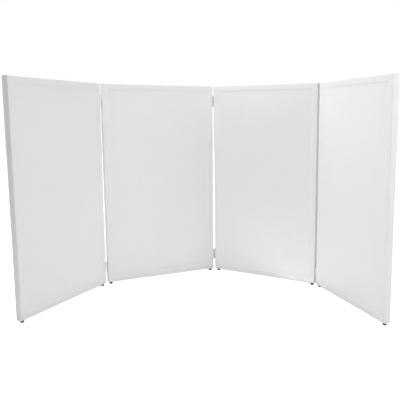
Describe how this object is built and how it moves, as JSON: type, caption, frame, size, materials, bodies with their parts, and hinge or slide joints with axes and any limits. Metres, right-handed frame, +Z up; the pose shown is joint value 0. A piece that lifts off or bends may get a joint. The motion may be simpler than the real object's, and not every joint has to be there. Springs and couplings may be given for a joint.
{
  "type": "folding partition screen",
  "caption": "Free-standing folding partition: tall frames of square steel tube with stretched white scrims, joined by upright pin hinges and standing on rubber feet.",
  "frame": {"origin": "on the floor, at the middle of the folded partition's plan box", "axes": "+Z up; +X from the left end panel to the right one; -Y is the side the folds open to, so the middle fold is at the back"},
  "size_m": [1.8538, 1.0536, 1.2132],
  "materials": {
    "frame_paint": "white powder coat, semi-gloss",
    "scrim_cloth": "white stretch polyester knit, matt",
    "fastener_tape": "white nylon hook-and-loop",
    "foot_rubber": "black moulded rubber, matt",
    "zinc_steel": "zinc plated",
    "bright_pin": "bright drawn steel",
    "brass": "plain brass"
  },
  "bodies": {
    "panel_1": {"panel_1_bottom_rail": "frame_paint", "panel_1_right_stile": "frame_paint", "panel_1_top_rail": "frame_paint", "panel_1_left_stile": "frame_paint", "panel_1_scrim": "scrim_cloth", "panel_1_scrim_hem": "scrim_cloth", "panel_1_hook_tape": "fastener_tape", "panel_1_loop_tape": "fastener_tape", "panel_1_feet": "foot_rubber", "panel_1_foot_screws": "zinc_steel", "panel_1_rivet_nuts": "zinc_steel", "hinge_1_pin_knuckles": "frame_paint", "hinge_1_pins": "bright_pin", "hinge_1_washers": "brass"},
    "panel_2": {"panel_2_bottom_rail": "frame_paint", "panel_2_right_stile": "frame_paint", "panel_2_top_rail": "frame_paint", "panel_2_left_stile": "frame_paint", "panel_2_scrim": "scrim_cloth", "panel_2_scrim_hem": "scrim_cloth", "panel_2_hook_tape": "fastener_tape", "panel_2_loop_tape": "fastener_tape", "panel_2_feet": "foot_rubber", "panel_2_foot_screws": "zinc_steel", "panel_2_rivet_nuts": "zinc_steel", "hinge_2_pin_knuckles": "frame_paint", "hinge_2_pins": "bright_pin", "hinge_2_washers": "brass", "hinge_1_socket_knuckles": "frame_paint"},
    "panel_3": {"panel_3_bottom_rail": "frame_paint", "panel_3_right_stile": "frame_paint", "panel_3_top_rail": "frame_paint", "panel_3_left_stile": "frame_paint", "panel_3_scrim": "scrim_cloth", "panel_3_scrim_hem": "scrim_cloth", "panel_3_hook_tape": "fastener_tape", "panel_3_loop_tape": "fastener_tape", "panel_3_feet": "foot_rubber", "panel_3_foot_screws": "zinc_steel", "panel_3_rivet_nuts": "zinc_steel", "hinge_3_pin_knuckles": "frame_paint", "hinge_3_pins": "bright_pin", "hinge_3_washers": "brass", "hinge_2_socket_knuckles": "frame_paint"},
    "panel_4": {"panel_4_bottom_rail": "frame_paint", "panel_4_right_stile": "frame_paint", "panel_4_top_rail": "frame_paint", "panel_4_left_stile": "frame_paint", "panel_4_scrim": "scrim_cloth", "panel_4_scrim_hem": "scrim_cloth", "panel_4_hook_tape": "fastener_tape", "panel_4_loop_tape": "fastener_tape", "panel_4_feet": "foot_rubber", "panel_4_foot_screws": "zinc_steel", "panel_4_rivet_nuts": "zinc_steel", "hinge_3_socket_knuckles": "frame_paint"}
  },
  "joints": [
    {"name": "fold_left", "type": "hinge", "parent": "panel_2", "child": "panel_1", "pos_m": [-0.64897, 0.15821, 0.613], "axis": [0, 0, 1], "range_deg": [-115, 35]},
    {"name": "fold_middle", "type": "hinge", "parent": "panel_2", "child": "panel_3", "pos_m": [0, 0.51794, 0.613], "axis": [0, 0, -1], "range_deg": [-133, 17]},
    {"name": "fold_right", "type": "hinge", "parent": "panel_3", "child": "panel_4", "pos_m": [0.64897, 0.15821, 0.613], "axis": [0, 0, -1], "range_deg": [-115, 35]}
  ]
}
